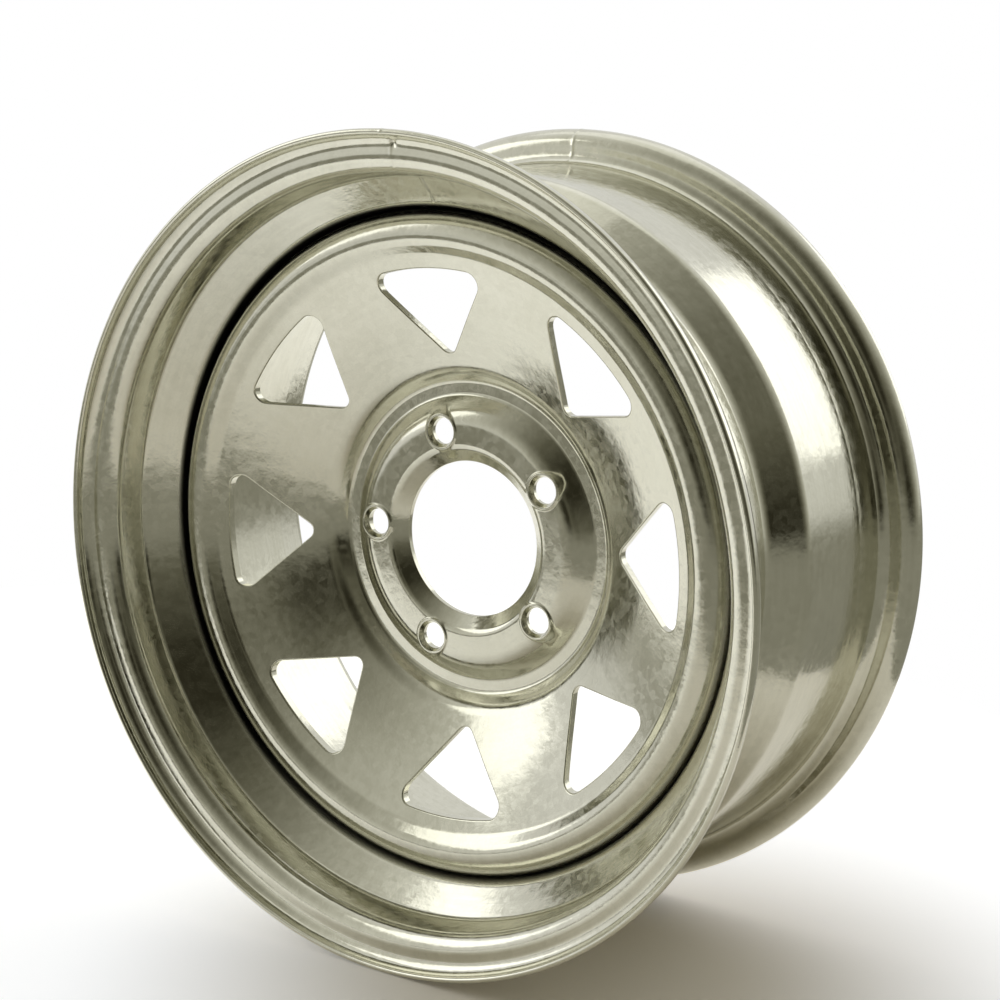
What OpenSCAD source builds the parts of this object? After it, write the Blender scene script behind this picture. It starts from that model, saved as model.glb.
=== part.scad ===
// Pressed-steel wheel of a light trailer: a rolled rim, a pressed disc and the welds that join them.
// The axle runs along +Y, which points inboard, so the face that shows on the vehicle looks along -Y.
// The origin is on the axle, in the plane where the disc bolts to the hub.

/* [Rim] */
// Diameter of the bead seats where they meet the flanges
bead_d = 380.2; // [330:0.1:440]
// Width between the two flange faces that hold the tyre
rim_w = 152.4; // [146:0.1:200]
// Distance from the middle of the rim to the bolting face, positive outboard
rim_offset = 0; // [-4:0.5:4]
// Height of each flange above its bead seat
flange_h = 17.3; // [16.6:0.1:22]
// Reach of each rounded lip past its flange face
lip_w = 11; // [10.8:0.1:14]
// Bend radius of the lip on the tyre side
lip_bend = 9; // [6:0.1:9]
// Bend radius between flange and bead seat on the tyre side
seat_bend = 6.5; // [4:0.1:7]
// Width of each bead seat
seat_w = 21; // [19:0.1:24]
// Taper of the bead seats in degrees
seat_taper = 5; // [3:0.1:6]
// Thickness of the rim sheet
rim_t = 2.8; // [2:0.1:3.4]

/* [Well] */
// Depth of the well floor below the bead seat diameter
well_depth = 17.5; // [15:0.1:20]
// Length along the axle of the outboard wall of the well
well_front_run = 15.5; // [13:0.1:18]
// Width of the well floor
well_floor_w = 29; // [27:0.1:32]
// Length along the axle of the inboard wall of the well
well_rear_run = 16; // [13:0.1:20]
// Height of the inboard ledge above the well floor
ledge_h = 13.6; // [11:0.1:15]
// Bend radius of the well and its ledges on the tyre side
well_bend = 8; // [5:0.1:9]

/* [Valve] */
// Diameter of the valve hole
valve_d = 11.5; // [8:0.1:13]
// Place of the valve hole round the wheel in degrees, from +X towards +Z
valve_angle = -6; // [-180:1:180]

/* [Disc] */
// Thickness of the disc sheet
disc_t = 4.5; // [3.5:0.1:5.5]
// Clearance between the turned-back edge of the disc and the rim
fit_gap = 0.1; // [0.05:0.05:0.3]
// How far the crest of the shoulder stands outboard of the well floor
shoulder_lead = 5.2; // [3:0.1:8]
// Depth of the turned-back edge from the crest of the shoulder
edge_depth = 26; // [22:0.1:27.5]
// Outer bend radius of the shoulder
shoulder_bend = 12; // [8:0.1:14]
// Width of the flat on the crest of the shoulder
crest_w = 0.8; // [0.2:0.1:4]
// Bend radius on the inner side of the crest
crest_bend = 9; // [6:0.1:12]
// Slope of the step inside the crest in degrees
crest_slope = 40; // [32:0.5:50]
// Depth of the step inside the crest
crest_drop = 5.5; // [5:0.1:8]
// Slope of the dished face in degrees
face_slope = 23.7; // [20:0.1:27]
// Bend radius where the step meets the face
face_bend = 8; // [5:0.1:12]
// Slope of the wall between face and hub groove in degrees
wall_slope = 55; // [50:0.5:60]
// Bend radius where the face meets that wall
wall_bend = 10; // [7:0.5:14]

/* [Hub] */
// Outer radius of the groove whose back bolts to the hub
groove_r = 81.5; // [80:0.1:84]
// Width of the groove between its corners
groove_w = 7; // [6:0.1:8.5]
// Bend radius of the two corners of the groove
groove_bend = 3; // [2:0.1:3.8]
// Height of the stud pad above the groove
pad_rise = 8.2; // [7:0.1:10]
// Slope of the flank of the stud pad in degrees
pad_slope = 38; // [34:0.5:42]
// Bend radius at the edge of the stud pad
pad_bend = 14; // [10:0.5:16]
// Diameter of the centre bore
bore_d = 81; // [78:0.1:83]
// Slope of the flared mouth of the bore in degrees
flare_slope = 40; // [34:0.5:44]
// Bend radius between the stud pad and the flare
flare_bend = 6; // [5:0.1:8]
// Depth of the flare from the stud pad to the bore
flare_depth = 6.4; // [5.5:0.1:6.8]
// Width of the flare's edge that the round bore trims off
bore_trim = 1.3; // [0.8:0.1:1.8]

/* [Studs] */
// Number of stud holes
stud_count = 5; // [3:1:6]
// Diameter of the circle through the stud holes
stud_pcd = 114.3; // [112:0.1:116]
// Diameter of each stud hole
stud_d = 13.5; // [12.9:0.1:14.5]
// Mouth diameter of each conical nut seat
seat_d = 16.5; // [15.5:0.1:17.5]
// Included angle of the nut seats in degrees
seat_angle = 60; // [50:1:90]
// Height of the collar round each nut seat
collar_h = 0.5; // [0.3:0.1:0.8]
// Width of the flat top of each collar
collar_w = 1; // [0.6:0.1:1.4]
// Slope of the outside of each collar in degrees
collar_slope = 60; // [56:1:70]
// Place of the first stud hole round the wheel in degrees
stud_angle = 104.5; // [0:0.5:360]

/* [Windows] */
// Number of windows
window_count = 8; // [4:1:9]
// Radius of the outer edge of the windows
window_r = 140; // [132:0.1:142]
// Radius at which the two sides of a window would meet
apex_r = 94.3; // [90:0.1:100]
// Angle between each side and the middle line of a window in degrees
window_half = 40.7; // [30:0.1:42]
// Corner radius at the outer edge
corner_r = 6; // [3:0.1:9]
// Corner radius at the apex
apex_round = 5; // [2:0.1:8]
// Place of the first window round the wheel in degrees
window_angle = 2.75; // [0:0.25:45]

/* [Welds] */
// Number of weld runs between disc and rim
weld_count = 8; // [3:1:12]
// Length of each weld run in degrees round the wheel
weld_arc = 24; // [8:1:28]
// Leg length of the weld
weld_leg = 4.5; // [3:0.1:5]
// Place of the middle of the first weld run in degrees
weld_angle = 25.25; // [0:0.25:45]

/* [Hidden] */
$fn = 144;
// Largest distance between an arc and the chords that it is drawn with
arc_tolerance = 0.03;

bead_r = bead_d / 2;
bore_r = bore_d / 2;
flange_r = bead_r + flange_h;
half_w = rim_w / 2;
well_r = bead_r - well_depth;
ledge_r = well_r + ledge_h;
seat_end_r = bead_r - seat_w * tan(seat_taper);
lip_edge = rim_t / 2;

// Stations along the axle
front_y = rim_offset - half_w;
rear_y = rim_offset + half_w;
front_seat_y = front_y + seat_w;
rear_seat_y = rear_y - seat_w;
floor_start_y = front_seat_y + well_front_run;
floor_end_y = floor_start_y + well_floor_w;
ledge_y = floor_end_y + well_rear_run;

// Corners of the tyre side of the rim, from the outboard lip to the inboard lip
rim_path = [
    [flange_r, front_y - lip_w + lip_edge, 0],
    [flange_r, front_y, lip_bend],
    [bead_r, front_y, seat_bend],
    [seat_end_r, front_seat_y, well_bend],
    [well_r, floor_start_y, well_bend],
    [well_r, floor_end_y, well_bend],
    [ledge_r, ledge_y, well_bend],
    [seat_end_r, rear_seat_y, well_bend],
    [bead_r, rear_y, seat_bend],
    [flange_r, rear_y, lip_bend],
    [flange_r, rear_y + lip_w - lip_edge, 0]
];

// Stations of the disc
disc_r = well_r - rim_t - fit_gap;
crest_y = floor_start_y - shoulder_lead;
edge_y = crest_y + edge_depth;
crest_r = disc_r - shoulder_bend - crest_w - crest_bend * tan(crest_slope / 2);
face_r = crest_r - crest_drop / tan(crest_slope);
face_y = crest_y + crest_drop;
groove_y = -disc_t;
pad_y = groove_y - pad_rise;
groove_in_r = groove_r - groove_w;
pad_r = groove_in_r - pad_rise / tan(pad_slope);
flare_r = bore_r + flare_depth / tan(flare_slope);
// Length of the face down to the corner that it shares with the wall
face_len = (face_y - groove_y + tan(wall_slope) * (face_r - groove_r))
    / (tan(wall_slope) * cos(face_slope) - sin(face_slope));
wall_r = face_r - face_len * cos(face_slope);
wall_y = face_y + face_len * sin(face_slope);

// Corners of the outboard side of the disc, from its turned-back edge to the end of the flare
disc_path = [
    [disc_r, edge_y, 0],
    [disc_r, crest_y, shoulder_bend],
    [crest_r, crest_y, crest_bend],
    [face_r, face_y, face_bend],
    [wall_r, wall_y, wall_bend],
    [groove_r, groove_y, groove_bend],
    [groove_in_r, groove_y, groove_bend],
    [pad_r, pad_y, pad_bend],
    [flare_r, pad_y, flare_bend],
    [bore_r - bore_trim, pad_y + flare_depth + bore_trim * tan(flare_slope), 0]
];

// Depth to which the collars of the nut seats are rooted in the sheet
collar_root = 0.95 * disc_t;
// Reach of cutting tools past the sheet that they cut
cut_over = 20;

function unit(v) = v / norm(v);
function left_of(v) = [-v[1], v[0]];
function bearing(v) = atan2(v[1], v[0]);
function reversed(list) = [for (i = [len(list) - 1 : -1 : 0]) list[i]];
function without_ends(list) = [for (i = [1 : len(list) - 2]) list[i]];

// Points of an arc that starts at a bearing and sweeps through an angle
function arc(centre, radius, start, sweep) =
    let (steps = ceil(abs(sweep) / (2 * acos(1 - arc_tolerance / radius))))
    [for (k = [0 : steps]) let (a = start + sweep * k / steps) centre + radius * [cos(a), sin(a)]];

// A path is a list of corners: radius from the axle, place along the axle, bend radius
function corner(path, i) = [path[i][0], path[i][1]];
function heading(path, i) = unit(corner(path, i + 1) - corner(path, i));
function turn(path, i) = let (u = heading(path, i - 1), w = heading(path, i)) atan2(cross(u, w), u * w);

// Points of the rounded bend at a corner, on a line that runs at a distance to the left of the path
function bend(path, i, distance) =
    let (angle = turn(path, i))
    let (outward = -sign(angle) * left_of(heading(path, i - 1)))
    let (start = corner(path, i) - heading(path, i - 1) * path[i][2] * tan(abs(angle) / 2))
    arc(start - outward * path[i][2], path[i][2] - sign(angle) * distance, bearing(outward), angle);

// Points of all bends, on a line that runs at a distance to the left of the path
function bends(path, distance) = [for (i = [1 : len(path) - 2]) each bend(path, i, distance)];

// Points at the start and at the end of a path, at a distance to its left
function start_point(path, distance) = corner(path, 0) + distance * left_of(heading(path, 0));
function end_point(path, distance) =
    corner(path, len(path) - 1) + distance * left_of(heading(path, len(path) - 2));

// Turns a section drawn as radius and place along the axle into a ring about the axle
module round_axle() {
    rotate([-90, 0, 0]) children();
}

// Turns things drawn on the +X side to an angle round the axle, from +X towards +Z
module at_angle(angle) {
    rotate([0, -angle, 0]) children();
}

// Hole through the middle of the outboard wall of the well, square to that wall
module valve_hole() {
    wall = [well_r - seat_end_r, well_front_run];
    at_angle(valve_angle)
        translate([(well_r + seat_end_r) / 2, (front_seat_y + floor_start_y) / 2, 0])
            rotate([0, 0, bearing(wall)])
                rotate([90, 0, 0])
                    cylinder(d = valve_d, h = cut_over, center = true);
}

// Section of the rim: tyre side, round edge of the inboard lip, inner side, round edge of the outboard lip
module rim_section() {
    polygon(concat(
        bends(rim_path, 0),
        arc(end_point(rim_path, lip_edge), lip_edge, 0, 180),
        reversed(bends(rim_path, rim_t)),
        arc(start_point(rim_path, lip_edge), lip_edge, 180, 180)
    ));
}

module rim() {
    color("#c9c7b6") difference() {
        round_axle() rotate_extrude() rim_section();
        valve_hole();
    }
}

// Outline of one window on the +X side: two straight sides, an outer arc and three rounded corners
module window_outline() {
    along = [cos(window_half), sin(window_half)];
    inward = [along[1], -along[0]];
    base = [apex_r, 0] + corner_r * inward;
    reach = window_r - corner_r;
    side_len = sqrt(pow(base * along, 2) - base * base + reach * reach) - base * along;
    round_centre = base + side_len * along;
    edge_angle = bearing(round_centre);
    side_angle = window_half + 90;
    polygon(concat(
        arc(round_centre, corner_r, edge_angle, side_angle - edge_angle),
        arc([apex_r + apex_round / sin(window_half), 0], apex_round, side_angle, 360 - 2 * side_angle),
        arc([round_centre[0], -round_centre[1]], corner_r, -side_angle, side_angle - edge_angle),
        without_ends(arc([0, 0], window_r, -edge_angle, 2 * edge_angle))
    ));
}

module windows() {
    for (i = [0 : window_count - 1])
        at_angle(window_angle + i * 360 / window_count)
            translate([0, groove_y, 0])
                rotate([90, 0, 0])
                    linear_extrude(groove_y - crest_y + cut_over) window_outline();
}

// Round bore that trims the edge of the flare
module bore() {
    rotate([90, 0, 0]) cylinder(d = bore_d, h = 2 * cut_over, center = true);
}

// Places children at each stud hole, with +Z pointing outboard from the surface of the stud pad
module at_studs() {
    for (i = [0 : stud_count - 1])
        at_angle(stud_angle + i * 360 / stud_count)
            translate([stud_pcd / 2, pad_y, 0])
                rotate([90, 0, 0]) children();
}

// Collar that is coined up round a nut seat, rooted in the sheet of the stud pad
module stud_collar() {
    top_r = seat_d / 2 + collar_w;
    full_h = collar_h + collar_root;
    translate([0, 0, -collar_root])
        cylinder(r1 = top_r + full_h / tan(collar_slope), r2 = top_r, h = full_h);
}

// Stud hole with its conical nut seat
module stud_hole() {
    flare = tan(seat_angle / 2);
    cone_h = (seat_d - stud_d) / 2 / flare;
    cylinder(d = stud_d, h = cut_over, center = true);
    translate([0, 0, collar_h - cone_h])
        cylinder(d1 = stud_d, d2 = stud_d + 2 * flare * cut_over, h = cut_over);
}

// Section of the disc, with square edges
module disc_section() {
    polygon(concat(
        [start_point(disc_path, 0)],
        bends(disc_path, 0),
        [end_point(disc_path, 0), end_point(disc_path, -disc_t)],
        reversed(bends(disc_path, -disc_t)),
        [start_point(disc_path, -disc_t)]
    ));
}

module disc() {
    color("#cfcbb8") difference() {
        union() {
            round_axle() rotate_extrude() disc_section();
            at_studs() stud_collar();
        }
        at_studs() stud_hole();
        bore();
        windows();
    }
}

// Section of a weld run in the corner between the edge of the disc and the floor of the well
module weld_section() {
    translate([well_r - rim_t - fit_gap, edge_y]) intersection() {
        circle(r = weld_leg);
        translate([-2 * weld_leg, 0]) square(2 * weld_leg);
    }
}

module weld_beads() {
    color("#b7b4a4") round_axle()
        for (i = [0 : weld_count - 1])
            rotate([0, 0, -weld_angle - i * 360 / weld_count - weld_arc / 2])
                rotate_extrude(angle = weld_arc) weld_section();
}

rim();
disc();
weld_beads();
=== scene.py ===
"""A galvanised pressed-steel trailer wheel on a pale floor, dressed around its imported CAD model."""
import math
import random

import bpy
import numpy as np
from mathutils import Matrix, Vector
from mathutils.geometry import delaunay_2d_cdt


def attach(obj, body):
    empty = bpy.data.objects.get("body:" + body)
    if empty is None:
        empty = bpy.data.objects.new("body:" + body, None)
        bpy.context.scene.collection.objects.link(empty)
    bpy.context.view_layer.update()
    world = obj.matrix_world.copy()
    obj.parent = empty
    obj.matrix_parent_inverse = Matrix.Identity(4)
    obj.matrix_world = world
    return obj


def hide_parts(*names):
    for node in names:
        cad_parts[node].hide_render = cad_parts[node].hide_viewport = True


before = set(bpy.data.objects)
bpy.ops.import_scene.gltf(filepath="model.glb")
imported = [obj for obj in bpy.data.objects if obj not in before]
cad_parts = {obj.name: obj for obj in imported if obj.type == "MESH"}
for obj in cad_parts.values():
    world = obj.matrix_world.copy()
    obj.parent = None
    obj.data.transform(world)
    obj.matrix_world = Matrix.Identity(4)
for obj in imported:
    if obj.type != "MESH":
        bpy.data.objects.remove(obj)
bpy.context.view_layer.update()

MM = 0.001

# Rim, in millimetres and degrees: radii from the axle, places along it with +Y inboard
BEAD_R = 190.1
RIM_HALF_W = 76.2
FLANGE_H = 17.3
LIP_W = 11.0
LIP_BEND = 9.0
LIP_ROUND = 1.38
SEAT_W = 21.0
SEAT_TAPER = 5.0
SEAT_BEND = 6.5
WELL_DEPTH = 17.5
WELL_FRONT_RUN = 15.5
WELL_FLOOR_W = 29.0
WELL_REAR_RUN = 16.0
WELL_BEND = 8.0
LEDGE_H = 13.6
RIM_T = 2.8
VALVE_R = 5.75
VALVE_ANGLE = -6.0

# Butt weld of the hoop, and the nick beside it on the front lip
SEAM_ANGLE = 88.1
SEAM_H = 0.14
SEAM_HALF_W = 0.9
NICK_R = 201.0
NICK_SIZE = 1.6
NICK_DEPTH = 0.9
NICK_SHIFT = -2.0

# Disc
DISC_T = 4.5
FIT_GAP = 0.1
SHOULDER_LEAD = 5.2
EDGE_DEPTH = 26.0
SHOULDER_BEND = 12.0
CREST_W = 0.8
CREST_BEND = 9.0
CREST_SLOPE = 40.0
CREST_DROP = 5.5
FACE_SLOPE = 23.7
FACE_BEND = 8.0
FACE_CROWN = 1.2
FACE_CROWN_BEND = 260.0
WALL_SLOPE = 55.0
WALL_BEND = 16.0
GROOVE_R = 81.5
GROOVE_W = 7.0
GROOVE_BEND = 3.0
PAD_RISE = 8.2
PAD_SLOPE = 38.0
PAD_BEND = 14.0
BORE_R = 40.5
BORE_TRIM = 1.3
FLARE_SLOPE = 40.0
FLARE_BEND = 6.0
FLARE_DEPTH = 6.4
DISC_EDGE_ROUND = 0.5

# Stud holes, their conical nut seats and the collars round those
STUD_COUNT = 5
STUD_CIRCLE_R = 57.15
STUD_ANGLE = 104.5
STUD_R = 6.75
NUT_SEAT_R = 8.25
NUT_SEAT_HALF_ANGLE = 30.0
NUT_SEAT_ROUND = 0.6
COLLAR_H = 0.5
COLLAR_R = 9.25
COLLAR_SLOPE = 60.0
COLLAR_ROUND = 0.4
COLLAR_FILLET = 1.2

# Windows
WINDOW_COUNT = 8
WINDOW_ANGLE = 2.75
WINDOW_R = 140.0
WINDOW_HALF = 40.7
APEX_R = 94.3
APEX_ROUND = 5.0
CORNER_R = 6.0

# Rounding of a punched edge where the punch went in and where it came out
PUNCH_ROUND = 0.8
BREAK_ROUND = 0.35

# Fillet welds behind the disc, with the height of each slow wave along them and its length for a radian
WELD_COUNT = 8
WELD_ARC = 24.0
WELD_ANGLE = 25.25
WELD_LEG = 4.5
WELD_SLACK = 0.2
WELD_TIP = 0.02
WELD_SEED = 4
RIPPLE_PITCH = 3.4
RIPPLE_DEPTH = 0.35
RIPPLE_MIDDLE = 0.6
WELD_WAVES = ((0.125, 9), (0.075, 4))
WELD_WAVE_SHIFT = 6

# Fineness of the meshes: steps in degrees round bends and in millimetres along runs, and counts of points
RING_STEPS = 360
BEND_STEP = 6.0
RUN_STEP = 5.0
RIM_RUN_STEP = 9.0
FINE_BEND_STEP = 0.5
FINE_RUN_STEP = 0.5
EDGE_BEND_STEP = 22.5
EDGE_RUN_STEP = 20.0
NUT_SEAT_BEND_STEP = 15.0
ROUND_POINTS = 4
STUD_POINTS = 60
VALVE_POINTS = 40
CORNER_POINTS = 9
SIDE_POINTS = 15
OUTER_POINTS = 22
WELD_ROWS = 150
WELD_POINTS = 9
SLOPE_REACH = 0.25
SAME_POINT = 1e-6

# Finer columns of the rim at its butt weld, in degrees to each side, and how far its even columns stay away
SEAM_SPAN = 1.25
SEAM_STEP = 0.125
SEAM_CLEAR = 1.5

# Patch that is meshed anew round the valve hole, in radii of the hole, and rounds of fitting it to the wall
VALVE_PATCH = 2.2
VALVE_FIT_ROUNDS = 4

# Zones of the disc that are meshed round their holes: outer and inner radius, and the gap left at the holes
WINDOW_ZONE = (146.0, 89.0)
WINDOW_GAP = 1.6
STUD_ZONE = (72.5, 45.0)
STUD_GAP = 0.9
COLLAR_RINGS = tuple(COLLAR_R + step for step in (-0.15, 0.1, 0.35, 0.65, 1.0, 1.4, 1.9, 2.5))
# How far from the bore the sides of the disc are taken as heights over their radius
BORE_CLEAR = 0.2

# Zinc: its darkest and lightest colour, and the scale, detail and roughness of its patterns
ZINC_DARK = (0.59, 0.58, 0.475, 1)
ZINC_LIGHT = (0.755, 0.745, 0.635, 1)
CLOUD = (24.0, 4.0, 0.6)
SPECKLE = (900.0, 2.0, 0.6)
LINES = (420.0, 3.0, 0.6)
WAVES = (45.0, 2.0, 0.5)
DAPPLE = (170.0, 2.0, 0.5)
GRAIN = (480.0, 3.0, 0.65)
CRYSTAL_SCALE = 300.0
LINE_STRETCH = 0.012

# How strongly each pattern shows in the zinc's colour, its roughness and its relief
CLOUD_TONE = 0.45
CRYSTAL_TONE = 0.12
LINE_TONE = 0.3
SPECKLE_TONE = 0.2
TONE_RANGE = (0.2, 0.8)
CRYSTAL_ROUGH = 0.4
CLOUD_ROUGH = 0.6
ROUGH_RANGE = (0.2, 0.8, 0.10, 0.20)
WAVE_RELIEF = 0.5
DAPPLE_RELIEF = 0.2
GRAIN_RELIEF = 0.05
LINE_RELIEF = 0.06
RELIEF_DEPTH = 0.0012
RELIEF_STRENGTH = 0.3
RIM_STREAKS = 1.0
DISC_STREAKS = 0.5
WELD_STREAKS = 0.0

# Painted shade in the crevice between rim and disc, darkening the zinc where the gap lies in shade, in
# metres: radii where it sets in, none of them on the welds
CREVICE_SHADE = (0.012, 0.011, 0.009, 1)
CREVICE_SHADE_ROUGH = 0.5
RIM_CREVICE = (0.1722, 0.1704)
DISC_CREVICE = (0.1668, 0.1692)
WELD_CREVICE = (0.18, 0.19)
# The radius it stays below, and the places along the axle between which it grows
CREVICE_R = 0.1722
CREVICE_END = (-0.022, -0.03)
# The painted shade thins out towards the lower right
SHADE_THIN_WAY = (0.7, 0, -0.7)
SHADE_THIN = (-0.02, 0.15, 1.0, 0.5)

# Floor, in metres: a round sheet of warm white paint
FLOOR_R = 0.68
FLOOR_MIDDLE = (-0.29, -0.05)
FLOOR_DARK = (0.95, 0.89, 0.79, 1)
FLOOR_PALE = (0.97, 0.91, 0.81, 1)
FLOOR_CLOUD = (3.0, 2.0, 0.5)
# What lifts it to white away from the object's shadow, held back in a fixed zone there as a painted shadow,
# and for metal and glass towards a bright bearing as a painted light on the floor
FLOOR_LIFT = (0.47, 0.51, 0.58, 1)
SHADOW_MIDDLE = (0.09, -0.03)
SHADOW_REACH = (0.06, 0.28, 0.0, 1.0)
BRIGHT_BEARING = -110
BRIGHT_REACH = (-0.2, 0.3, 0.3, 0.95)

# Camera
CAMERA_AT = (0.5904, -0.8217, 0.2054)
CAMERA_AZIMUTH = 35.07
CAMERA_ELEVATION = 10.42
CAMERA_LENS = 71.93
CAMERA_SENSOR = 36.0

# Studio: a white world, and lamps with their bearing, elevation, distance, width, height and power
WORLD_WHITE = (1.0, 1.0, 1.0, 1)
LAMPS = {
    "key": (-56, 27, 2.2, 1.0, 1.3, 4.0),
    "fill": (156, 25, 2.2, 1.0, 1.3, 3.9),
    "top": (-130, 75, 2.2, 1.6, 1.6, 2.0),
}

# Scrim round the stage: its radius in metres and the step of its mesh in degrees
SCRIM_R = 3.0
SCRIM_STEP = 6
# It is dark about three aims, each a bearing, an elevation and how fast it lightens from there
SCRIM_AIMS = ((38, 26, 1.0), (70, -2, 1.0), (13, 5, 1.7))
# Angle from the nearest aim, and how much of the light passes there
SCRIM_STOPS = (
    (8, (0.029, 0.027, 0.017, 1)),
    (26, (0.13, 0.126, 0.093, 1)),
    (40, (0.275, 0.27, 0.225, 1)),
    (54, (0.46, 0.455, 0.40, 1)),
    (68, (0.665, 0.665, 0.615, 1)),
    (86, (0.83, 0.83, 0.83, 1)),
)
# Between these heights, as shares of its radius, it turns to a grey ground
HORIZON = (0.0, -0.11)
# The ground lightens away from the aims, between two angles given as shares of a half turn
GROUND_DARK = (0.28, 0.275, 0.23, 1)
GROUND_LIGHT = (0.62, 0.615, 0.565, 1)
GROUND_TURNS = (0.47, 0.75)


def unit(v):
    return v / np.linalg.norm(v, axis=-1, keepdims=True)


def left_of(v):
    return np.array([-v[1], v[0]])


def turned(v, angle):
    return v * math.cos(angle) + left_of(v) * math.sin(angle)


def flat_ways(angles):
    """Flat unit vectors at angles from +X towards +Z."""
    return np.stack([np.cos(angles), np.sin(angles)], axis=1)


def lifted(flat, place):
    """Flat points or vectors with a place along the axle added."""
    return np.stack([flat[:, 0], np.broadcast_to(place, len(flat)), flat[:, 1]], axis=1)


def spun(pair, angles):
    """A radius and a place along the axle, or a normal in that plane, at angles from +X towards +Z."""
    out, place = pair
    return np.stack([out * np.cos(angles), np.full_like(angles, place), out * np.sin(angles)], axis=-1)


def aimed(bearing, elevation):
    """Unit vector at a bearing from -Y towards +X and at an elevation."""
    flat = math.cos(math.radians(elevation))
    bearing = math.radians(bearing)
    return Vector((flat * math.sin(bearing), -flat * math.cos(bearing), math.sin(math.radians(elevation))))


def inside(points, loop):
    """Which flat points lie inside a closed loop."""
    x, y = points[:, 0], points[:, 1]
    result = np.zeros(len(points), bool)
    for (xa, ya), (xb, yb) in zip(loop, np.roll(loop, -1, axis=0)):
        if ya != yb:
            result ^= ((ya > y) != (yb > y)) & (x < (xb - xa) * (y - ya) / (yb - ya) + xa)
    return result


def placed(name, data):
    """A new object in the scene."""
    made = bpy.data.objects.new(name, data)
    bpy.context.scene.collection.objects.link(made)
    return made


ring_angles = np.radians(np.arange(RING_STEPS) * 360 / RING_STEPS)
seam_angles = np.radians(SEAM_ANGLE + np.arange(-SEAM_SPAN, SEAM_SPAN + SEAM_STEP / 2, SEAM_STEP))
off_seam = np.abs(ring_angles - math.radians(SEAM_ANGLE)) > math.radians(SEAM_CLEAR)
rim_angles = np.sort(np.concatenate([ring_angles[off_seam], seam_angles]))
round_turns = np.linspace(0, math.pi / 2, ROUND_POINTS)


def rounded_path(path, bend_step=BEND_STEP, run_step=RUN_STEP):
    """Rounds a path of corners, each with its radius, its place along the axle and its bend radius.

    Returns points, the unit vectors to the left of the path there, and where each bend starts and ends."""
    corners = [np.array(c[:2], float) for c in path]
    headings = [unit(b - a) for a, b in zip(corners, corners[1:])]
    points, lefts, bends = [corners[0]], [left_of(headings[0])], [(0, 0)]

    def run_to(target, heading):
        start = points[-1]
        count = max(1, math.ceil(np.linalg.norm(target - start) / run_step))
        for k in range(1, count + 1):
            points.append(start + (target - start) * k / count)
            lefts.append(left_of(heading))

    for i in range(1, len(path) - 1):
        heading, radius = headings[i - 1], path[i][2]
        turn = math.atan2(left_of(heading) @ headings[i], heading @ headings[i])
        side = math.copysign(radius, turn)
        run_to(corners[i] - heading * radius * math.tan(abs(turn) / 2), heading)
        centre = points[-1] + side * left_of(heading)
        count = max(2, math.ceil(math.degrees(abs(turn)) / bend_step))
        first = len(points) - 1
        for k in range(1, count + 1):
            left = left_of(turned(heading, turn * k / count))
            points.append(centre - side * left)
            lefts.append(left)
        bends.append((first, len(points) - 1))
    run_to(corners[-1], headings[-1])
    return np.array(points), np.array(lefts), bends


class Section:
    """Closed section of a sheet on the left of a path, or on its right if the thickness is negative.

    Its edges are cut square and rounded, and the end of the path may be trimmed to a bore."""

    def __init__(self, path, thickness, edge_round, bore_r=None, run_step=RUN_STEP):
        self.near, self.left, self.bends = rounded_path(path, run_step=run_step)
        self.far = self.near + self.left * thickness
        outward = -math.copysign(1, thickness)
        near, far = self.near, self.far
        end_face = [near[-1], far[-1]]
        if bore_r:
            cut = bore_r - near[-1][0]
            along, across = near[-2] - near[-1], far[-1] - near[-1]
            end_face = [near[-1] + along * cut / along[0], near[-1] + across * cut / across[0], far[-1]]
        start, start_left = self.edge([far[1], far[0], near[0], near[1]], edge_round)
        end, end_left = self.edge([near[-2], *end_face, far[-2]], edge_round)
        self.points = np.concatenate([start, near[1:-1], end, far[-2:0:-1]])
        self.normals = outward * np.concatenate([start_left, self.left[1:-1], end_left, -self.left[-2:0:-1]])
        # Where each point of the path is among the section's points, on the near and on the far side
        self.near_at = np.arange(len(near)) + len(start) - 1
        self.far_at = len(self.points) - np.arange(len(near))

    @staticmethod
    def edge(corners, edge_round):
        """Rounded edge of the sheet between its last points on the two sides, which are left out."""
        points, left, _ = rounded_path([(*c, edge_round) for c in corners], EDGE_BEND_STEP, EDGE_RUN_STEP)
        return points[1:-1], left[1:-1]

    def strips_at(self, steps):
        """The strips between the section's points that lie on either side of steps of the path."""
        return {self.near_at[i] for i in steps} | {self.far_at[i + 1] for i in steps}


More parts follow.
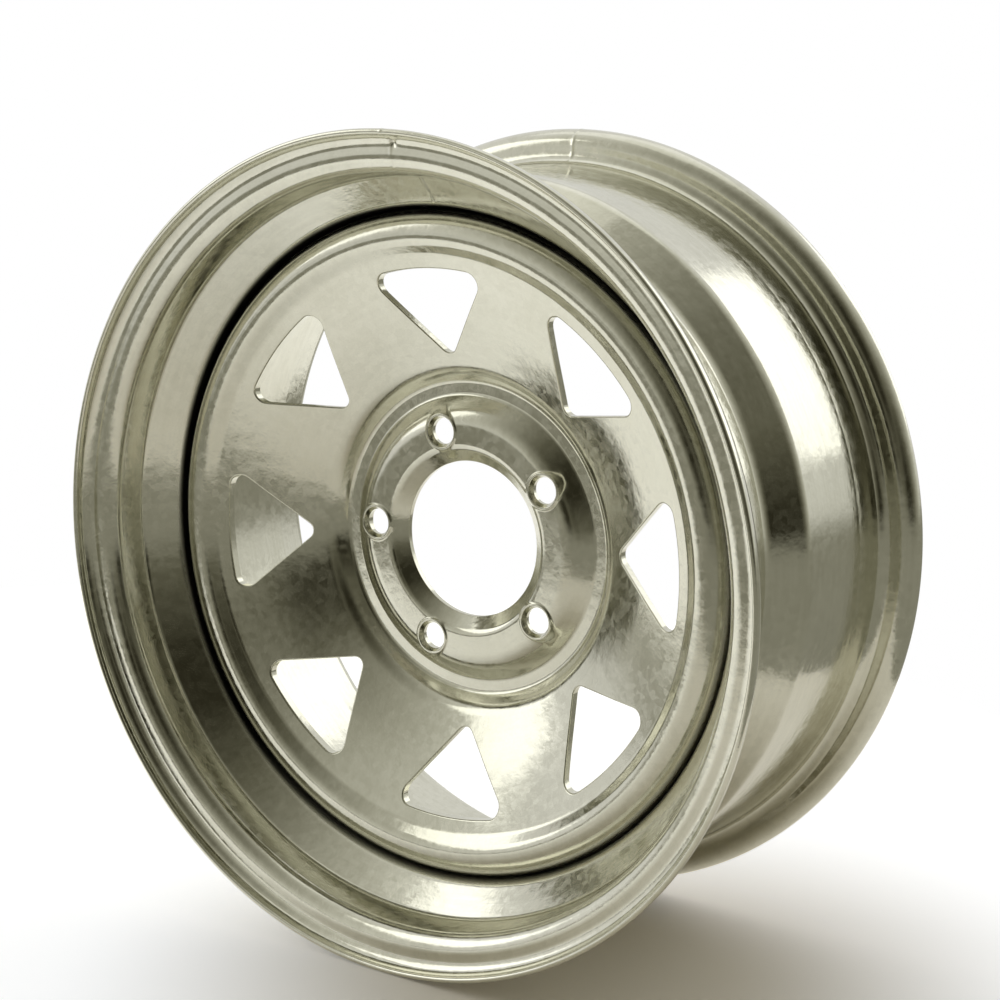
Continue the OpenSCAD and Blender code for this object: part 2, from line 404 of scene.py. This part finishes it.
class Shell:
    """Collects vertices with their normals, and faces, and makes a smooth mesh of them."""

    def __init__(self):
        self.points = np.zeros((0, 3))
        self.normals = np.zeros((0, 3))
        self.faces = []

    def add(self, points, normals):
        first = len(self.points)
        self.points = np.concatenate([self.points, points])
        self.normals = np.concatenate([self.normals, normals])
        return np.arange(first, len(self.points))

    def rings(self, section, angles):
        """Spins a section round the axle and returns one row of vertices for each of its points."""
        return [self.add(spun(p, angles), spun(n, angles)) for p, n in zip(section.points, section.normals)]

    def strip(self, a, b, skip=()):
        """Joins two closed rows of vertices with quads, apart from those that start in skipped columns."""
        quads = np.stack([a, np.roll(a, -1), np.roll(b, -1), b], axis=1)
        self.faces.append(np.delete(quads, list(skip), axis=0))

    def strips(self, rows):
        for a, b in zip(rows, rows[1:]):
            self.strip(a, b)

    def fill(self, flat, border, holes, loose=()):
        """Fills the space inside a border loop, and outside hole loops, with triangles.

        flat gives all vertices their places in a plane, and loose ones lie between the loops."""
        loops = [border] + list(holes)
        ids = np.concatenate(loops + [np.asarray(loose, int)])
        edges, first = [], 0
        for loop in loops:
            span = np.arange(first, first + len(loop))
            edges += np.stack([span, np.roll(span, -1)], axis=1).tolist()
            first += len(loop)
        made = delaunay_2d_cdt([Vector(flat[i]) for i in ids], edges, [], 0, SAME_POINT, True)
        triangles, origins = np.array(made[2]), made[3]
        source = np.array([origin[0] for origin in origins])
        faces = ids[source[triangles]]
        middles = flat[faces].mean(axis=1)
        keep = inside(middles, flat[border])
        for hole in holes:
            keep &= ~inside(middles, flat[hole])
        self.faces.append(faces[keep])

    def build(self, name):
        """Makes the mesh, with each face turned the way that its vertices' normals point."""
        faces = []
        for group in self.faces:
            corners = self.points[group]
            facing = np.cross(corners[:, 1] - corners[:, 0], corners[:, 2] - corners[:, 0])
            wrong = (facing * self.normals[group].sum(axis=1)).sum(axis=1) < 0
            faces += np.where(wrong[:, None], group[:, ::-1], group).tolist()
        mesh = bpy.data.meshes.new(name)
        mesh.from_pydata((self.points * MM).tolist(), [], faces)
        mesh.shade_smooth()
        mesh.normals_split_custom_set_from_vertices(unit(self.normals).tolist())
        return placed(name, mesh)


# Stations and section of the rim, and the corner at which the outboard wall of its well starts
flange_r = BEAD_R + FLANGE_H
well_r = BEAD_R - WELL_DEPTH
ledge_r = well_r + LEDGE_H
seat_end_r = BEAD_R - SEAT_W * math.tan(math.radians(SEAT_TAPER))
front_seat_y = SEAT_W - RIM_HALF_W
floor_start_y = front_seat_y + WELL_FRONT_RUN
floor_end_y = floor_start_y + WELL_FLOOR_W
rim_path = [
    (flange_r, -RIM_HALF_W - LIP_W, 0),
    (flange_r, -RIM_HALF_W, LIP_BEND),
    (BEAD_R, -RIM_HALF_W, SEAT_BEND),
    (seat_end_r, front_seat_y, WELL_BEND),
    (well_r, floor_start_y, WELL_BEND),
    (well_r, floor_end_y, WELL_BEND),
    (ledge_r, floor_end_y + WELL_REAR_RUN, WELL_BEND),
    (seat_end_r, RIM_HALF_W - SEAT_W, WELL_BEND),
    (BEAD_R, RIM_HALF_W, SEAT_BEND),
    (flange_r, RIM_HALF_W, LIP_BEND),
    (flange_r, RIM_HALF_W + LIP_W, 0),
]
FRONT_WALL = 3

# Stations and section of the disc
disc_r = well_r - RIM_T - FIT_GAP
crest_y = floor_start_y - SHOULDER_LEAD
edge_y = crest_y + EDGE_DEPTH
crest_r = disc_r - SHOULDER_BEND - CREST_W - CREST_BEND * math.tan(math.radians(CREST_SLOPE / 2))
face_r = crest_r - CREST_DROP / math.tan(math.radians(CREST_SLOPE))
face_y = crest_y + CREST_DROP
pad_y = -DISC_T - PAD_RISE
groove_in_r = GROOVE_R - GROOVE_W
pad_r = groove_in_r - PAD_RISE / math.tan(math.radians(PAD_SLOPE))
flare_rise = math.tan(math.radians(FLARE_SLOPE))
wall_rise = math.tan(math.radians(WALL_SLOPE))
face_rise = math.tan(math.radians(FACE_SLOPE))
wall_r = (-DISC_T - face_y + wall_rise * GROOVE_R - face_rise * face_r) / (wall_rise - face_rise)
wall_y = face_y + (face_r - wall_r) * face_rise
disc_path = [
    (disc_r, edge_y, 0),
    (disc_r, crest_y, SHOULDER_BEND),
    (crest_r, crest_y, CREST_BEND),
    (face_r, face_y, FACE_BEND),
    ((face_r + wall_r) / 2, (face_y + wall_y) / 2 - FACE_CROWN, FACE_CROWN_BEND),
    (wall_r, wall_y, WALL_BEND),
    (GROOVE_R, -DISC_T, GROOVE_BEND),
    (groove_in_r, -DISC_T, GROOVE_BEND),
    (pad_r, pad_y, PAD_BEND),
    (BORE_R + FLARE_DEPTH / flare_rise, pad_y, FLARE_BEND),
    (BORE_R - BORE_TRIM, pad_y + FLARE_DEPTH + BORE_TRIM * flare_rise, 0),
]


def rounding(radius):
    """Steps round a small edge: distance outside the hole, depth below the surface, turn into the hole."""
    return [(radius * (1 - math.sin(a)), radius * (1 - math.cos(a)), a) for a in round_turns]


def valve_hole(shell, rows, section):
    """Cuts the valve hole through the outboard wall of the well, and returns its columns and steps."""
    first, last = section.bends[FRONT_WALL][1], section.bends[FRONT_WALL + 1][0]
    middle = np.array([(well_r + seat_end_r) / 2, (front_seat_y + floor_start_y) / 2])
    slant = unit(section.near[last] - section.near[first])
    turn = math.radians(VALVE_ANGLE)
    bearings_off = (rim_angles - turn + math.pi) % (2 * math.pi) - math.pi
    columns = np.flatnonzero(np.abs(bearings_off) * middle[0] < VALVE_PATCH * VALVE_R)
    columns = columns[np.argsort(bearings_off[columns])]
    hole_turns = np.arange(VALVE_POINTS) * 2 * math.pi / VALVE_POINTS
    aside = np.array([-math.sin(turn), 0, math.cos(turn)])
    along = spun(slant, np.array([turn]))[0]
    inward = -(np.outer(np.cos(hole_turns), aside) + np.outer(np.sin(hole_turns), along))
    sides = []
    for base, at, sign in ((section.near, section.near_at, -1), (section.far, section.far_at, 1)):
        normal = sign * section.left[first]
        rings = []
        for offset, depth, a in rounding(PUNCH_ROUND):
            across = (VALVE_R + offset) * np.cos(hole_turns)
            up = (VALVE_R + offset) * np.sin(hole_turns)
            pairs = base[first] + np.outer(up + (middle - base[first]) @ slant, slant)
            for _ in range(VALVE_FIT_ROUNDS):
                bearings = np.arcsin(across / pairs[:, 0])
                reached = np.stack([pairs[:, 0] * np.cos(bearings), pairs[:, 1]], axis=1) @ slant
                pairs = pairs + np.outer(up - reached + middle @ slant, slant)
            surface = np.array([spun(normal, np.array([turn + b]))[0] for b in bearings])
            points = np.array([spun(p, np.array([turn + b]))[0] for p, b in zip(pairs, bearings)])
            rings.append(shell.add(points - depth * surface, surface * math.cos(a) + inward * math.sin(a)))
            if depth == 0:
                hole_flat = np.stack([bearings * middle[0], (pairs - base[first]) @ slant], axis=1)
        shell.strips(rings)
        sides.append(rings)
        # Triangles between the hole and the grid round it
        ids = [rows[at[i]] for i in range(first, last + 1)]
        border = np.concatenate([ids[0][columns], [row[columns[-1]] for row in ids[1:-1]],
                                 ids[-1][columns[::-1]], [row[columns[0]] for row in ids[-2:0:-1]]])
        flat = np.zeros((len(shell.points), 2))
        for k, row in enumerate(ids):
            flat[row[columns], 0] = bearings_off[columns] * middle[0]
            flat[row[columns], 1] = np.linalg.norm(section.near[first + k] - section.near[first])
        flat[rings[0]] = hole_flat
        shell.fill(flat, border, [rings[0]])
    shell.strip(sides[0][-1], sides[1][-1])
    return columns[:-1], range(first, last)


def raise_seam(shell):
    """Raises the ground butt weld of the hoop a little, and sinks the nick beside it in the front lip."""
    angles = np.arctan2(shell.points[:, 2], shell.points[:, 0])
    radii = np.hypot(shell.points[:, 0], shell.points[:, 2])
    along = (angles - math.radians(SEAM_ANGLE)) * radii
    front = (shell.points[:, 1] < -RIM_HALF_W) & (shell.normals[:, 1] < 0)
    ridge = SEAM_H * np.exp(-(along / SEAM_HALF_W) ** 2)
    from_nick = (along - NICK_SHIFT) ** 2 + (radii - NICK_R) ** 2
    dent = np.exp(-from_nick / NICK_SIZE ** 2) * front * NICK_DEPTH
    slope = -2 * along / SEAM_HALF_W ** 2 * ridge + 2 * (along - NICK_SHIFT) / NICK_SIZE ** 2 * dent
    dip = 2 * (radii - NICK_R) / NICK_SIZE ** 2 * dent
    round_way = np.stack([-np.sin(angles), np.zeros_like(angles), np.cos(angles)], axis=1)
    out_way = np.stack([np.cos(angles), np.zeros_like(angles), np.sin(angles)], axis=1)
    shell.points += shell.normals * (ridge - dent)[:, None]
    shell.normals -= slope[:, None] * round_way + dip[:, None] * out_way


def make_rim():
    section = Section(rim_path, RIM_T, LIP_ROUND, run_step=RIM_RUN_STEP)
    shell = Shell()
    rows = shell.rings(section, rim_angles)
    raise_seam(shell)
    columns, steps = valve_hole(shell, rows, section)
    cut = section.strips_at(steps)
    for i in range(len(rows)):
        shell.strip(rows[i], rows[(i + 1) % len(rows)], columns if i in cut else ())
    return shell.build("rim_sheet")


def graph(points):
    """A side of the disc as radii in rising order and their places along the axle."""
    order = np.argsort(points[:, 0])
    return points[order, 0], points[order, 1]


fine_path, fine_left, _ = rounded_path(disc_path, FINE_BEND_STEP, FINE_RUN_STEP)
pressed = (fine_path[:, 0] > BORE_R + BORE_CLEAR) & (fine_path[:, 0] < crest_r)
front_graph = graph(fine_path[pressed])
back_graph = graph(fine_path[pressed] - fine_left[pressed] * DISC_T)
stud_centres = STUD_CIRCLE_R * flat_ways(np.radians(STUD_ANGLE + np.arange(STUD_COUNT) * 360 / STUD_COUNT))
stud_ways = flat_ways(np.arange(STUD_POINTS) * 2 * math.pi / STUD_POINTS)


def soft_min(a, b, width):
    """The lower of two heights, with a fillet where they cross."""
    near = np.maximum(width - np.abs(a - b), 0) / width
    return np.minimum(a, b) - near * near * width / 4


def front_height(flat):
    """Place along the axle of the outboard side of the disc, with the collars of its nut seats."""
    height = np.interp(np.hypot(flat[:, 0], flat[:, 1]), *front_graph)
    top = pad_y - COLLAR_H
    for centre in stud_centres:
        away = np.hypot(*(flat - centre).T)
        flank = top + (away - COLLAR_R) * math.tan(math.radians(COLLAR_SLOPE))
        collar = -soft_min(-np.full_like(flank, top), -flank, COLLAR_ROUND)
        height = np.where(away < NUT_SEAT_R + COLLAR_R, soft_min(height, collar, COLLAR_FILLET), height)
    return height


def back_height(flat):
    """Place along the axle of the inboard side of the disc."""
    return np.interp(np.hypot(flat[:, 0], flat[:, 1]), *back_graph)


def on_surface(height, flat, facing):
    """Points of a height field over flat places, and its normals.

    facing is -1 for the outboard side and 1 for the inboard side."""
    slopes = []
    for axis in np.eye(2):
        rise = height(flat + SLOPE_REACH * axis) - height(flat - SLOPE_REACH * axis)
        slopes.append(rise / (2 * SLOPE_REACH))
    normals = -facing * np.stack([slopes[0], -np.ones(len(flat)), slopes[1]], axis=1)
    return lifted(flat, height(flat)), unit(normals)


def window_outline(offset):
    """Outline of the window on the +X side, grown by an offset, as flat points and their outward normals."""
    half = math.radians(WINDOW_HALF)
    along = np.array([math.cos(half), math.sin(half)])
    base = np.array([APEX_R, 0]) + CORNER_R * np.array([along[1], -along[0]])
    reach = WINDOW_R - CORNER_R
    corner = base + along * (math.sqrt((base @ along) ** 2 - base @ base + reach ** 2) - base @ along)
    apex = np.array([APEX_R + APEX_ROUND / math.sin(half), 0])
    edge_turn = math.atan2(corner[1], corner[0])
    side_turn = half + math.pi / 2
    arcs = [
        (corner, CORNER_R, edge_turn, side_turn, CORNER_POINTS),
        (apex, APEX_ROUND, side_turn, 2 * math.pi - side_turn, CORNER_POINTS),
        (corner * [1, -1], CORNER_R, -side_turn, -edge_turn, CORNER_POINTS),
        (np.zeros(2), WINDOW_R, -edge_turn, edge_turn, OUTER_POINTS),
    ]
    points, normals = [], []
    for k, (centre, radius, start, stop, count) in enumerate(arcs):
        turns = np.linspace(start, stop, count)
        # The outer arc shares its ends with the corners
        turns = turns[1:-1] if radius == WINDOW_R else turns
        ways = flat_ways(turns)
        arc = centre + (radius + offset) * ways
        if k in (1, 2):
            # A straight side, in short steps
            shares = np.linspace(0, 1, SIDE_POINTS)[1:-1, None]
            points.append(points[-1][-1] * (1 - shares) + arc[0] * shares)
            normals.append(np.repeat(ways[:1], len(shares), axis=0))
        points.append(arc)
        normals.append(ways)
    return np.concatenate(points), np.concatenate(normals)


def flat_turn(flat, angle):
    cos, sin = math.cos(angle), math.sin(angle)
    return flat @ np.array([[cos, sin], [-sin, cos]])


def add_window(shell, angle):
    """Adds the punched edge of one window and returns its loops on the front and back of the disc."""
    rings = []
    for height, facing, radius in ((front_height, -1, PUNCH_ROUND), (back_height, 1, BREAK_ROUND)):
        side = []
        for offset, depth, a in rounding(radius):
            flat, outward = (flat_turn(v, angle) for v in window_outline(offset))
            points, normals = on_surface(height, flat, facing)
            points[:, 1] -= facing * depth
            side.append(shell.add(points, normals * math.cos(a) - lifted(outward, 0.0) * math.sin(a)))
        rings.append(side)
    shell.strips(rings[0] + rings[1][::-1])
    return rings[0][0], rings[1][0]


def add_stud_hole(shell, centre):
    """Adds one conical nut seat with its hole and returns its loops on the front and back of the disc."""
    top = pad_y - COLLAR_H
    cone_end = top + (NUT_SEAT_R - STUD_R) / math.tan(math.radians(NUT_SEAT_HALF_ANGLE))
    path = [
        (NUT_SEAT_R + NUT_SEAT_ROUND, top, 0),
        (NUT_SEAT_R, top, NUT_SEAT_ROUND),
        (STUD_R, cone_end, NUT_SEAT_ROUND),
        (STUD_R, pad_y + DISC_T - BREAK_ROUND, 0),
    ]
    points, left, _ = rounded_path(path, NUT_SEAT_BEND_STEP)
    front = []
    for (away, place), (out, axial) in zip(points, left):
        front.append(shell.add(lifted(centre + away * stud_ways, place), lifted(out * stud_ways, axial)))
    back = []
    for offset, depth, a in rounding(BREAK_ROUND):
        spots, normals = on_surface(back_height, centre + (STUD_R + offset) * stud_ways, 1)
        spots[:, 1] -= depth
        back.append(shell.add(spots, normals * math.cos(a) - lifted(stud_ways, 0.0) * math.sin(a)))
    shell.strips(front[:-1] + back[::-1])
    return front[0], back[0]


def loose_points(radii, loops, gap):
    """Places on circles round the axle that keep a gap from hole loops."""
    flat = np.concatenate([r * flat_ways(ring_angles) for r in radii])
    for loop in loops:
        reach = np.abs(loop - loop.mean(axis=0)).max() + 2 * gap
        near = np.abs(flat - loop.mean(axis=0)).max(axis=1) < reach
        spots = flat[near]
        away = np.linalg.norm(spots[:, None] - loop[None], axis=2).min(axis=1)
        clear = ~inside(spots, loop) & (away > gap)
        flat = np.delete(flat, np.flatnonzero(near)[~clear], axis=0)
    return flat


def fill_zone(shell, section, rows, zone, loops, gap, collar=()):
    """Meshes a zone of the disc round its holes, on both sides, and returns the strips that it stands for.

    collar gives the radii of extra circles of points round each stud hole on the outboard side."""
    outer_r, inner_r = zone
    radii = section.near[:, 0]
    first = int(np.argmax(radii < outer_r))
    last = int(len(radii) - 1 - np.argmax(radii[::-1] > inner_r))
    sides = (
        (section.near, section.near_at, front_height, -1),
        (section.far, section.far_at, back_height, 1),
    )
    for side, (base, at, height, facing) in enumerate(sides):
        holes = [loop[side] for loop in loops]
        keep_off = [shell.points[hole][:, [0, 2]] for hole in holes]
        extra = np.zeros((0, 2))
        if collar and facing < 0:
            extra = np.concatenate([centre + r * stud_ways for centre in stud_centres for r in collar])
            away = np.hypot(extra[:, 0], extra[:, 1])
            extra = extra[(away > base[last, 0] + gap) & (away < base[first, 0] - gap)]
            keep_off = [centre + collar[-1] * stud_ways for centre in stud_centres]
        flat = np.concatenate([loose_points(base[first + 1:last, 0], keep_off, gap), extra])
        loose = shell.add(*on_surface(height, flat, facing))
        border, core = rows[at[first]], rows[at[last]]
        shell.fill(shell.points[:, [0, 2]], border, holes + [core], loose)
    return section.strips_at(range(first, last))


def make_disc():
    section = Section(disc_path, -DISC_T, DISC_EDGE_ROUND, BORE_R)
    shell = Shell()
    rows = shell.rings(section, ring_angles)
    window_turns = np.radians(WINDOW_ANGLE + np.arange(WINDOW_COUNT) * 360 / WINDOW_COUNT)
    window_loops = [add_window(shell, turn) for turn in window_turns]
    stud_loops = [add_stud_hole(shell, centre) for centre in stud_centres]
    cut = fill_zone(shell, section, rows, WINDOW_ZONE, window_loops, WINDOW_GAP)
    cut |= fill_zone(shell, section, rows, STUD_ZONE, stud_loops, STUD_GAP, COLLAR_RINGS)
    for i in range(len(rows)):
        if i not in cut:
            shell.strip(rows[i], rows[(i + 1) % len(rows)])
    return shell.build("disc_pressing")


def make_welds():
    """Rippled fillet welds in the corner between the edge of the disc and the floor of the well."""
    shell = Shell()
    rng = random.Random(WELD_SEED)
    turns = np.linspace(0, math.pi / 2, WELD_POINTS)
    corner = np.array([disc_r + 2 * FIT_GAP, edge_y - FIT_GAP])
    length = math.radians(WELD_ARC) * disc_r
    runs = np.linspace(0, length, WELD_ROWS)
    ends = np.clip(np.minimum(runs, length - runs) / WELD_LEG, 0, 1)
    for k in range(WELD_COUNT):
        middle = math.radians(WELD_ANGLE + k * 360 / WELD_COUNT)
        beat = runs / RIPPLE_PITCH + rng.random()
        ripple = RIPPLE_DEPTH * (np.abs(np.sin(math.pi * beat)) - RIPPLE_MIDDLE)
        waves = sum(h * np.sin(runs / pace + WELD_WAVE_SHIFT * rng.random()) for h, pace in WELD_WAVES)
        size = (WELD_LEG - WELD_SLACK + ripple + waves) * np.sqrt(1 - (1 - ends) ** 2) + WELD_TIP
        size = np.minimum(size, WELD_LEG)
        slope = np.gradient(size, runs)
        rows = []
        for run, leg, rise in zip(runs, size, slope):
            at = np.array([middle + (run - length / 2) / disc_r])
            along = np.array([-math.sin(at[0]), 0, math.cos(at[0])])
            points = [spun(corner, at)[0]]
            normals = [spun((1, -1), at)[0]]
            for a in turns:
                out = np.array([-math.cos(a), math.sin(a)])
                points.append(spun(corner + leg * out, at)[0])
                normals.append(spun(out, at)[0] - rise * along)
            rows.append(shell.add(np.array(points), np.array(normals)))
        shell.strips(rows)
        shell.faces += [rows[0][None], rows[-1][None]]
    return shell.build("weld_runs")


class Nodes:
    """Short calls for building a node tree."""

    def __init__(self, tree):
        self.tree = tree
        tree.nodes.clear()

    def node(self, kind, settings=None, **inputs):
        made = self.tree.nodes.new(kind)
        for name, value in (settings or {}).items():
            setattr(made, name, value)
        for name, value in inputs.items():
            self.put(made.inputs[name.replace("_", " ")], value)
        return made

    def put(self, socket, value):
        if isinstance(value, bpy.types.NodeSocket):
            self.tree.links.new(value, socket)
        else:
            socket.default_value = value

    def math(self, operation, *values):
        made = self.node("ShaderNodeMath", {"operation": operation})
        for socket, value in zip(made.inputs, values):
            self.put(socket, value)
        return made.outputs[0]

    def weighted(self, *parts):
        """Sum of values, each with its weight."""
        total, *others = [self.math("MULTIPLY", value, weight) for value, weight in parts]
        for other in others:
            total = self.math("ADD", total, other)
        return total

    def vector(self, operation, a, b):
        """A vector operation that gives one number."""
        made = self.node("ShaderNodeVectorMath", {"operation": operation})
        self.put(made.inputs[0], a)
        self.put(made.inputs[1], b)
        return made.outputs["Value"]

    def noise(self, vector, scale, detail, roughness):
        made = self.node("ShaderNodeTexNoise", Vector=vector, Scale=scale, Detail=detail,
                         Roughness=roughness)
        return made.outputs[0]

    def ramp(self, value, low, high, to_low=0.0, to_high=1.0):
        made = self.node("ShaderNodeMapRange", {"interpolation_type": "SMOOTHSTEP"}, Value=value,
                         From_Min=low, From_Max=high, To_Min=to_low, To_Max=to_high)
        return made.outputs["Result"]

    def blend(self, share, a, b):
        """Mixes two colours, whose sockets lie among those of other data types."""
        made = self.node("ShaderNodeMix", {"data_type": "RGBA"})
        for index, value in ((0, share), (6, a), (7, b)):
            self.put(made.inputs[index], value)
        return made.outputs[2]


def new_material(name):
    """A material and its emptied node tree."""
    material = bpy.data.materials.new(name)
    material.use_nodes = True
    return material, Nodes(material.node_tree)


def zinc(name, streaks, crevice):
    """Hot-dip zinc: crystals, soft waves and streaks, and painted shade in the crevice between rim and disc.

    streaks is how strong the rolling marks are. crevice gives the radii between which the painted shade sets
    in."""
    material, n = new_material(name)
    place = n.node("ShaderNodeTexCoord").outputs["Object"]
    split = n.node("ShaderNodeSeparateXYZ", Vector=place).outputs
    angle = n.math("ARCTAN2", split["Z"], split["X"])
    squares = [n.math("POWER", split[axis], 2.0) for axis in ("X", "Z")]
    radius = n.math("SQRT", n.math("ADD", *squares))
    stretched = n.math("MULTIPLY", angle, LINE_STRETCH)
    around = n.node("ShaderNodeCombineXYZ", X=stretched, Y=split["Y"], Z=radius).outputs[0]
    lines = n.noise(around, *LINES)
    crystals = n.node("ShaderNodeTexVoronoi", Vector=place, Scale=CRYSTAL_SCALE)
    crystal = n.node("ShaderNodeSeparateColor", Color=crystals.outputs["Color"]).outputs[0]
    cloud = n.noise(place, *CLOUD)
    speckle = n.noise(place, *SPECKLE)
    tone = n.weighted((cloud, CLOUD_TONE), (crystal, CRYSTAL_TONE), (lines, LINE_TONE * streaks),
                      (speckle, SPECKLE_TONE))
    colour = n.blend(n.ramp(tone, *TONE_RANGE), ZINC_DARK, ZINC_LIGHT)
    # Painted shade: the zinc is darkened in the gap between rim and disc, where shade falls
    painted_shade = n.math("MULTIPLY", n.ramp(radius, *crevice), n.ramp(split["Y"], *CREVICE_END))
    painted_shade = n.math("MULTIPLY", painted_shade, n.math("LESS_THAN", radius, CREVICE_R))
    shade_thinning = n.vector("DOT_PRODUCT", place, SHADE_THIN_WAY)
    painted_shade = n.math("MULTIPLY", painted_shade, n.ramp(shade_thinning, *SHADE_THIN))
    colour = n.blend(painted_shade, colour, CREVICE_SHADE)
    rough = n.ramp(n.weighted((crystal, CRYSTAL_ROUGH), (cloud, CLOUD_ROUGH)), *ROUGH_RANGE)
    rough = n.math("ADD", rough, n.math("MULTIPLY", painted_shade, CREVICE_SHADE_ROUGH))
    waves = n.noise(place, *WAVES)
    dapple = n.noise(place, *DAPPLE)
    grain = n.noise(place, *GRAIN)
    height = n.weighted((waves, WAVE_RELIEF), (dapple, DAPPLE_RELIEF), (grain, GRAIN_RELIEF),
                        (lines, LINE_RELIEF * streaks))
    bump = n.node("ShaderNodeBump", Height=height, Distance=RELIEF_DEPTH, Strength=RELIEF_STRENGTH)
    shader = n.node("ShaderNodeBsdfPrincipled", Base_Color=colour, Metallic=1.0, Roughness=rough,
                    Normal=bump.outputs["Normal"])
    n.node("ShaderNodeOutputMaterial", Surface=shader.outputs["BSDF"])
    return material


def floor_paint(floor_z):
    """Warm white paint, lifted to white where the camera sees it outside a fixed zone round the object's
    shadow, which stays as a painted shadow.

    Metal and glass see it lifted on the bright side of the studio, a painted light on the floor."""
    material, n = new_material("floor_paint")
    place = n.node("ShaderNodeTexCoord").outputs["Object"]
    colour = n.blend(n.noise(place, *FLOOR_CLOUD), FLOOR_DARK, FLOOR_PALE)
    paint = n.node("ShaderNodeBsdfDiffuse", Color=colour)
    # Painted shadow: no lift within a fixed reach of SHADOW_MIDDLE
    away = n.vector("DISTANCE", place, (*SHADOW_MIDDLE, floor_z))
    # Painted light: metal and glass see the floor lifted more towards BRIGHT_BEARING
    along = n.vector("DOT_PRODUCT", place, aimed(BRIGHT_BEARING, 0))
    path = n.node("ShaderNodeLightPath").outputs
    to_metal = n.math("MAXIMUM", path["Is Glossy Ray"], path["Is Transmission Ray"])
    to_metal = n.math("MULTIPLY", to_metal, n.ramp(along, *BRIGHT_REACH))
    seen = n.math("MULTIPLY", n.math("ADD", path["Is Camera Ray"], to_metal), n.ramp(away, *SHADOW_REACH))
    lift = n.node("ShaderNodeEmission", Color=FLOOR_LIFT, Strength=seen)
    both = n.node("ShaderNodeAddShader")
    n.put(both.inputs[0], paint.outputs[0])
    n.put(both.inputs[1], lift.outputs[0])
    n.node("ShaderNodeOutputMaterial", Surface=both.outputs[0])
    return material


def make_floor():
    floor_z = -flange_r * MM
    x, y = FLOOR_MIDDLE
    ring = [(x + FLOOR_R * math.cos(a), y + FLOOR_R * math.sin(a), floor_z) for a in ring_angles]
    mesh = bpy.data.meshes.new("floor")
    mesh.from_pydata(ring, [], [list(range(RING_STEPS))])
    floor = placed("floor", mesh)
    mesh.materials.append(floor_paint(floor_z))


def make_camera():
    data = bpy.data.cameras.new("camera")
    data.lens = CAMERA_LENS
    data.sensor_width = CAMERA_SENSOR
    camera = placed("camera", data)
    camera.location = CAMERA_AT
    camera.rotation_euler = (math.radians(90 - CAMERA_ELEVATION), 0, math.radians(CAMERA_AZIMUTH))
    bpy.context.scene.camera = camera


def make_world():
    world = bpy.data.worlds.new("studio")
    bpy.context.scene.world = world
    world.use_nodes = True
    n = Nodes(world.node_tree)
    background = n.node("ShaderNodeBackground", Color=WORLD_WHITE)
    n.node("ShaderNodeOutputWorld", Surface=background.outputs[0])


def make_scrim():
    """Clear sphere round the stage, tinted dark about its aims and grey below, hidden from the camera."""
    material, n = new_material("scrim")
    way = n.node("ShaderNodeVectorMath", {"operation": "NORMALIZE"})
    n.put(way.inputs[0], n.node("ShaderNodeTexCoord").outputs["Object"])
    # Angle from the nearest aim, as a share of a half turn
    turn = 1.0
    for bearing, elevation, pace in SCRIM_AIMS:
        dot = n.vector("DOT_PRODUCT", way.outputs[0], aimed(bearing, elevation))
        turn = n.math("MINIMUM", turn, n.math("MULTIPLY", n.math("ARCCOSINE", dot), pace / math.pi))
    up = n.node("ShaderNodeSeparateXYZ", Vector=way.outputs[0]).outputs["Z"]
    ground = n.blend(n.ramp(turn, *GROUND_TURNS), GROUND_DARK, GROUND_LIGHT)
    ramp = n.node("ShaderNodeValToRGB", Fac=turn)
    stops = ramp.color_ramp.elements
    for k, (angle, colour) in enumerate(SCRIM_STOPS):
        # A new ramp has two stops
        stop = stops[k] if k < 2 else stops.new(angle / 180)
        stop.position = angle / 180
        stop.color = colour
    tint = n.blend(n.ramp(up, *HORIZON), ramp.outputs["Color"], ground)
    clear = n.node("ShaderNodeBsdfTransparent", Color=tint)
    n.node("ShaderNodeOutputMaterial", Surface=clear.outputs[0])
    columns = 360 // SCRIM_STEP
    rows = []
    points = []
    for elevation in range(-90, 91, SCRIM_STEP):
        rows.append(range(len(points), len(points) + columns))
        points += [tuple(SCRIM_R * aimed(SCRIM_STEP * k, elevation)) for k in range(columns)]
    faces = []
    for a, b in zip(rows, rows[1:]):
        faces += [(a[k], a[(k + 1) % columns], b[(k + 1) % columns], b[k]) for k in range(columns)]
    mesh = bpy.data.meshes.new("scrim")
    mesh.from_pydata(points, [], faces)
    mesh.materials.append(material)
    scrim = placed("scrim", mesh)
    scrim.visible_camera = False


def make_lamp(name, bearing, elevation, distance, width, height, power):
    lamp = bpy.data.lights.new(name, "AREA")
    lamp.shape = "RECTANGLE"
    lamp.size = width
    lamp.size_y = height
    lamp.energy = power
    made = placed(name, lamp)
    way = aimed(bearing, elevation)
    made.location = way * distance
    made.rotation_euler = way.to_track_quat("Z", "Y").to_euler()
    made.visible_camera = False


# Pieces, each with the CAD node that it replaces, its slot and its zinc
rim = make_rim()
disc = make_disc()
welds = make_welds()
dressed = (
    (rim, "rim", "rim_zinc", RIM_STREAKS, RIM_CREVICE),
    (disc, "disc", "disc_zinc", DISC_STREAKS, DISC_CREVICE),
    (welds, "weld_beads", "weld_zinc", WELD_STREAKS, WELD_CREVICE),
)
for piece, node, slot, streaks, crevice in dressed:
    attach(piece, "root")
    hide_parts(node)
    piece.data.materials.append(zinc(slot, streaks, crevice))

# Stage
make_floor()
make_camera()
make_world()
make_scrim()
for lamp_name, settings in LAMPS.items():
    make_lamp(lamp_name, *settings)
bpy.context.scene.view_settings.view_transform = "Standard"
